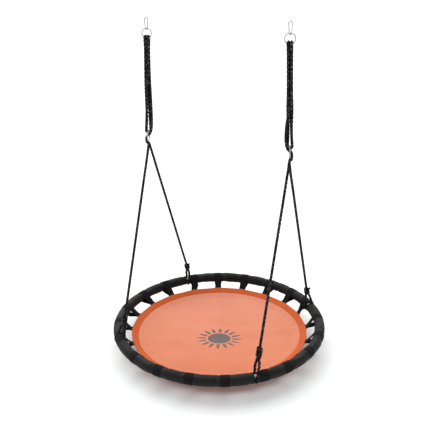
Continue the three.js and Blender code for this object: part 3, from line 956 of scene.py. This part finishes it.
def add_mat():
    rings, sides = 62, 216
    points, faces = [SEAT + UP * mat_height(0)], []
    along, across = direction(26.5)[:2], direction(116.5)[:2]
    for k in range(1, rings + 1):
        r = MAT_RADIUS * k / rings
        a = round_angles(sides) + (k % 2) * math.pi / sides
        x, y = r * np.cos(a), r * np.sin(a)
        u, v = x * along[0] + y * along[1], x * across[0] + y * across[1]
        fade = np.clip((MAT_RADIUS - r) / (45 * MM), 0, 1)
        phase = v / (23 * MM) + 1.1 * np.sin(u / (170 * MM) + 0.6) + 0.8 * np.sin(v / (91 * MM))
        ripple = np.sin(phase) + 0.6 * np.sin(v / (41 * MM) - u / (310 * MM) + 2.0)
        z = mat_height(np.minimum(r, HEM_INNER)) + 0.9 * MM * ripple * fade
        points += list(np.stack([x, y, z], 1) + SEAT)
    for j in range(sides):
        faces.append([0, 1 + j, 1 + (j + 1) % sides])
    for k in range(rings - 1):
        for j in range(sides):
            a, b = 1 + k * sides + j, 1 + k * sides + (j + 1) % sides
            c, d = a + sides, b + sides
            faces.append([a, c, d, b])
    mat = add_object("woven_mat", np.array(points), faces, MAT)
    pinned = np.zeros(len(points))
    pinned[-3 * sides:] = 1
    settle(mat, 24, 5 * MM, pinned, gravity=0.3, shrink=-0.006, stiffness=30.0, bending=4.0)
    thick = mat.modifiers.new("thickness", "SOLIDIFY")
    thick.thickness = 1.8 * MM
    thick.offset = 0
    subdivide(mat)
    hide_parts("mat")
    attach(mat, "seat")
    return mat


def hem_wave(angle, share):
    """How the hem's height and reach give between the straps: share is 0 inside and 1 outside."""
    a = np.radians(np.asarray(angle, float))
    pull = np.cos(STRAPS * (a - math.radians(STRAP_START)))
    lift = (0.5 * pull + 0.35 * np.sin(7 * a + 1) + 0.25 * np.sin(13 * a + 2.2)) * MM
    return lift * (0.25 + 0.75 * share), (0.55 * pull * MM) * share


def add_hem():
    count = 480
    angles = np.arange(count) * 360 / count
    half = HEM_THICKNESS / 2
    # the folded edge outside is round, the inner edge is a thin fold
    section = []
    for a in np.radians(np.linspace(90, -90, 9)):
        section.append((HEM_WIDTH - half + half * math.cos(a), half * math.sin(a)))
    for share in (0.85, 0.7, 0.5, 0.3, 0.12):
        section.append((HEM_WIDTH * share, -half * (0.78 + 0.22 * share)))
    for a in np.radians(np.linspace(-90, -270, 7)):
        section.append((0.6 * half + 0.6 * half * math.cos(a), 0.72 * half * math.sin(a)))
    for share in (0.12, 0.3, 0.5, 0.7, 0.85):
        section.append((HEM_WIDTH * share, half * (0.78 + 0.22 * share)))
    section = np.array(section)
    share = section[:, 0] / HEM_WIDTH
    lift, reach = hem_wave(angles[:, None], share[None])
    # the rows of stitching press shallow grooves
    pressed = sum(np.exp(-(((share - row) * HEM_WIDTH / (1.1 * MM)) ** 2)) for row in HEM_ROWS)
    thin = section[:, 1] * (1 - 0.22 * pressed)
    c, s = math.cos(HEM_SLOPE), math.sin(HEM_SLOPE)
    out = HEM_INNER + section[:, 0] * c - thin * s
    height = -HEM_INNER_DROP + section[:, 0] * s + thin * c
    a = np.radians(angles)[:, None]
    r = out[None] + reach
    rings = about_seat(r, a, height[None] + lift)[:, ::-1]
    along = np.arange(count + 1) * 2 * math.pi * HEM_MIDDLE / count
    around = distances(np.vstack([section[::-1], section[-1:]]))
    hem = skin("mat_hem_band", rings, HEM, along, around, loop=True)
    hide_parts("mat_hem")
    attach(hem, "seat")
    return hem


STITCH_LENGTH = 3.3 * MM
STITCH_WIDTH = 0.75 * MM
BOX_STITCH = 3.4 * MM
HEM_DEGREE = 7.0 * MM  # one degree along the hem


def add_stitches(name, places, runs, normals):
    """Short threads: places are their middles, runs their directions."""
    around, steps = 6, 5
    a = round_angles(around)
    t = np.linspace(-1, 1, steps)
    thick = np.sqrt(np.maximum(1 - (0.94 * t) ** 2, 0.0)) ** 0.8
    sides = np.cross(normals, runs)
    onward = (t * STITCH_LENGTH / 2)[None, :, None, None]
    proud = (np.sin(a)[None] * thick[:, None] - 0.35 * (t**2)[:, None]) * STITCH_WIDTH / 2
    aside = np.cos(a)[None] * thick[:, None] * STITCH_WIDTH / 2
    rings = (
        places[:, None, None]
        + runs[:, None, None] * onward
        + normals[:, None, None] * proud[None, :, :, None]
        + sides[:, None, None] * aside[None, :, :, None]
    )
    count = len(places)
    base = np.arange(count)[:, None, None] * around * steps
    i, j = np.meshgrid(np.arange(steps - 1), np.arange(around), indexing="ij")
    next_j = (j + 1) % around
    quad = [i * around + j, i * around + next_j, (i + 1) * around + next_j, (i + 1) * around + j]
    quad = np.stack(quad, -1)
    faces = (base[..., None] + quad[None].reshape(1, -1, 1, 4)).reshape(-1, 4)[:, ::-1].tolist()
    for k in range(count):
        first = k * around * steps
        faces.append([first + m for m in range(around)])
        faces.append([first + (steps - 1) * around + m for m in range(around)][::-1])
    obj = add_object(name, rings.reshape(-1, 3), faces, THREAD)
    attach(obj, "seat")
    return obj


def hem_surface(angle, share, side):
    """A place on the hem's upper (side 1) or lower (side -1) face, and the face's normal there."""
    c, s = math.cos(HEM_SLOPE), math.sin(HEM_SLOPE)
    half = HEM_THICKNESS / 2 * (0.78 + 0.22 * share) * 0.80
    lift, reach = hem_wave(angle, share)
    r = HEM_INNER + share * HEM_WIDTH * c - side * half * s + reach
    z = -HEM_INNER_DROP + share * HEM_WIDTH * s + side * half * c + lift
    a = np.radians(angle)
    place = about_seat(r, a, z)
    normal = side * np.stack([-s * np.cos(a), -s * np.sin(a), c + 0 * a], -1)
    return place, normal


def add_hem_stitching():
    pieces = []
    for side, word in ((1, "top"), (-1, "under")):
        places, runs, normals = [], [], []
        for row in HEM_ROWS:
            count = 560
            angle = np.arange(count) * 360 / count + row * 100
            place, normal = hem_surface(angle, row, side)
            a = np.radians(angle)
            places.append(place)
            runs.append(np.stack([-np.sin(a), np.cos(a), 0 * a], -1))
            normals.append(normal)
        # a box with a cross over each strap's end
        box = []
        for i in range(STRAPS):
            middle = strap_mat_angle(i)
            wide, low, high = 1.75, 0.24, 0.72
            corners = [(-wide, low), (wide, low), (wide, high), (-wide, high)]
            lines = [(corners[p], corners[(p + 1) % 4]) for p in range(4)]
            lines += [(corners[0], corners[2]), (corners[1], corners[3])]
            for (a0, s0), (a1, s1) in lines:
                long = math.hypot((a1 - a0) * HEM_DEGREE, (s1 - s0) * HEM_WIDTH)
                number = max(2, round(long / BOX_STITCH))
                for t in (np.arange(number) + 0.5) / number:
                    box.append((middle + a0 + (a1 - a0) * t, s0 + (s1 - s0) * t, a1 - a0, s1 - s0))
        box = np.array(box)
        place, normal = hem_surface(box[:, 0], box[:, 1], side)
        ahead, _ = hem_surface(box[:, 0] + box[:, 2] * 0.02, box[:, 1] + box[:, 3] * 0.02, side)
        run = ahead - place
        run /= np.linalg.norm(run, axis=1)[:, None]
        places.append(place)
        runs.append(run)
        normals.append(normal)
        parts = [np.concatenate(part) for part in (places, runs, normals)]
        pieces.append(add_stitches(f"hem_stitching_{word}", *parts))
    return pieces


# ---------- straps ----------

STRAP_THICKNESS = 1.6 * MM
STRAP_ROUND = 24.0 * MM
STRAP_STEP = 2.4 * MM
STRAP_FLOW = 18 * MM  # half a strap's width in its weave
BUNCHED = {2: 0.42, 6: 0.12, 11: 0.15, 16: 0.22}  # how much narrower some straps are gathered


def strap_outline():
    """The strap's middle line seen along the tube, from the hem round the foam and back to the hem:
    reach from the tube's centre, and height."""
    start = np.array([MAT_EDGE - 6 * MM - FRAME_RADIUS, -MAT_EDGE_DROP - 2.6 * MM])
    leave = np.array([MAT_EDGE + 9 * MM - FRAME_RADIUS, -MAT_EDGE_DROP + 3.9 * MM])
    lift = np.array([-0.4, 0.92]) * STRAP_THICKNESS * 0.5
    toward = math.atan2(leave[1], leave[0]) + 2 * math.pi
    reach = math.acos(STRAP_ROUND / np.linalg.norm(leave))
    points = [start - lift, leave - lift]
    for a in np.linspace(toward + reach, toward + 2 * math.pi - reach, 40):
        points.append(np.array([math.cos(a), math.sin(a)]) * STRAP_ROUND)
    points += [leave + lift, start + lift]
    flat = np.array([[p[0], 0, p[1]] for p in points])
    return evenly(flat, STRAP_STEP)[:, [0, 2]]


def add_strap(i, outline, rng):
    mat_angle, frame_angle = strap_mat_angle(i), STRAP_ANGLES[i]
    tangent = np.gradient(outline, axis=0)
    tangent /= np.linalg.norm(tangent, axis=1)[:, None]
    normal = np.stack([tangent[:, 1], -tangent[:, 0]], 1)
    mat_reach = FRAME_RADIUS - MAT_EDGE
    share = np.clip((outline[:, 0] + mat_reach) / (mat_reach - FOAM_RADIUS), 0, 1)
    free = np.clip((outline[:, 0] + mat_reach) / (mat_reach - 9 * MM), 0, 1)
    free = np.sin(math.pi * free) ** 1.2
    width = STRAP_AT_MAT + (STRAP_AT_FRAME - STRAP_AT_MAT) * share
    bunch = BUNCHED.get(i, 0.03 + 0.05 * rng.random())
    width = width * (1 - bunch * free)
    fold = (0.35 + 5.0 * bunch + 0.3 * rng.random()) * MM
    waves = 1.0 + 0.8 * rng.random() + 3 * bunch
    phase = rng.random() * 6
    angle = mat_angle + (frame_angle - mat_angle) * share
    count = 15
    v = np.linspace(-1, 1, count)
    half = STRAP_THICKNESS / 2
    profile = [(x, half * math.sqrt(max(0.0, 1 - abs(x) ** 14))) for x in v]
    upper = np.array([(x, max(h, 0.18 * half)) for x, h in profile])
    lower = upper[::-1] * np.array([1, -1])
    ring = np.concatenate([upper, lower])
    side = ring[:, 0]
    thick = ring[:, 1]
    upper_ply = np.where(np.arange(len(outline)) > len(outline) / 2, 1.0, -1.0)
    roll = side[None] * waves * math.pi + phase + upper_ply[:, None] * 0.7
    crease = fold * free[:, None] * np.sin(roll)
    bow = (rng.random() - 0.3) * 0.9 * MM * free[:, None] * (1 - side[None] ** 2)
    off = thick[None] + crease + bow
    lateral = side[None] * width[:, None] / 2
    reach = outline[:, :1] + normal[:, :1] * off
    height = outline[:, 1:] + normal[:, 1:] * off
    r = FRAME_RADIUS + reach
    a = np.radians(angle)[:, None] + lateral / r
    rings = about_seat(r, a, height)
    along = np.arange(len(outline) + 1) * STRAP_STEP
    upper_flow = (v + 1) * STRAP_FLOW
    around = np.concatenate([upper_flow, upper_flow + 38 * MM, [76 * MM]])
    strap = skin(f"strap_loop_{i + 1:02d}", rings, WEBBING, along, around)
    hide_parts(f"strap_{i + 1:02d}")
    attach(strap, "seat")


def add_straps():
    rng = np.random.default_rng(11)
    outline = strap_outline()
    for i in range(STRAPS):
        add_strap(i, outline, rng)


add_sleeves()
mat = add_mat()
hem = add_hem()
hem_threads = add_hem_stitching()
add_straps()

# ---------- floor and light ----------


def add_floor():
    shade = Shade("floor_paper", Roughness=0.95, Specular_IOR_Level=0.0)
    tone = shade.noise(shade.object_place(), 3.0, 2.0)
    shade.colour(shade.mix(tone, rgb(0.89, 0.905, 0.905), rgb(0.905, 0.92, 0.92)))
    far = 150.0
    z = FRAME_PLANE - FLOOR_DROP
    corners = [[-far, -far, z], [far, -far, z], [far, far, z], [-far, far, z]]
    floor = add_object("floor", corners, [[0, 1, 2, 3]], shade.material, smooth=False)


def add_sun(name, strength, spread, azimuth, elevation):
    data = bpy.data.lights.new(name, "SUN")
    data.energy = strength
    data.angle = math.radians(spread)
    sun = bpy.data.objects.new(name, data)
    lift = math.radians(elevation)
    towards = direction(azimuth) * math.cos(lift) + UP * math.sin(lift)
    sun.rotation_mode = "QUATERNION"
    sun.rotation_quaternion = Vector(towards).to_track_quat("Z", "Y")
    bpy.context.scene.collection.objects.link(sun)


def add_light():
    world = bpy.data.worlds.new("studio")
    bpy.context.scene.world = world
    world.use_nodes = True
    background = world.node_tree.nodes["Background"]
    background.inputs["Color"].default_value = rgb(1, 1, 1)
    background.inputs["Strength"].default_value = 0.62
    add_sun("softbox", strength=3.1, spread=90, azimuth=135, elevation=56)


add_floor()
add_light()
bpy.context.scene.view_settings.view_transform = "Standard"
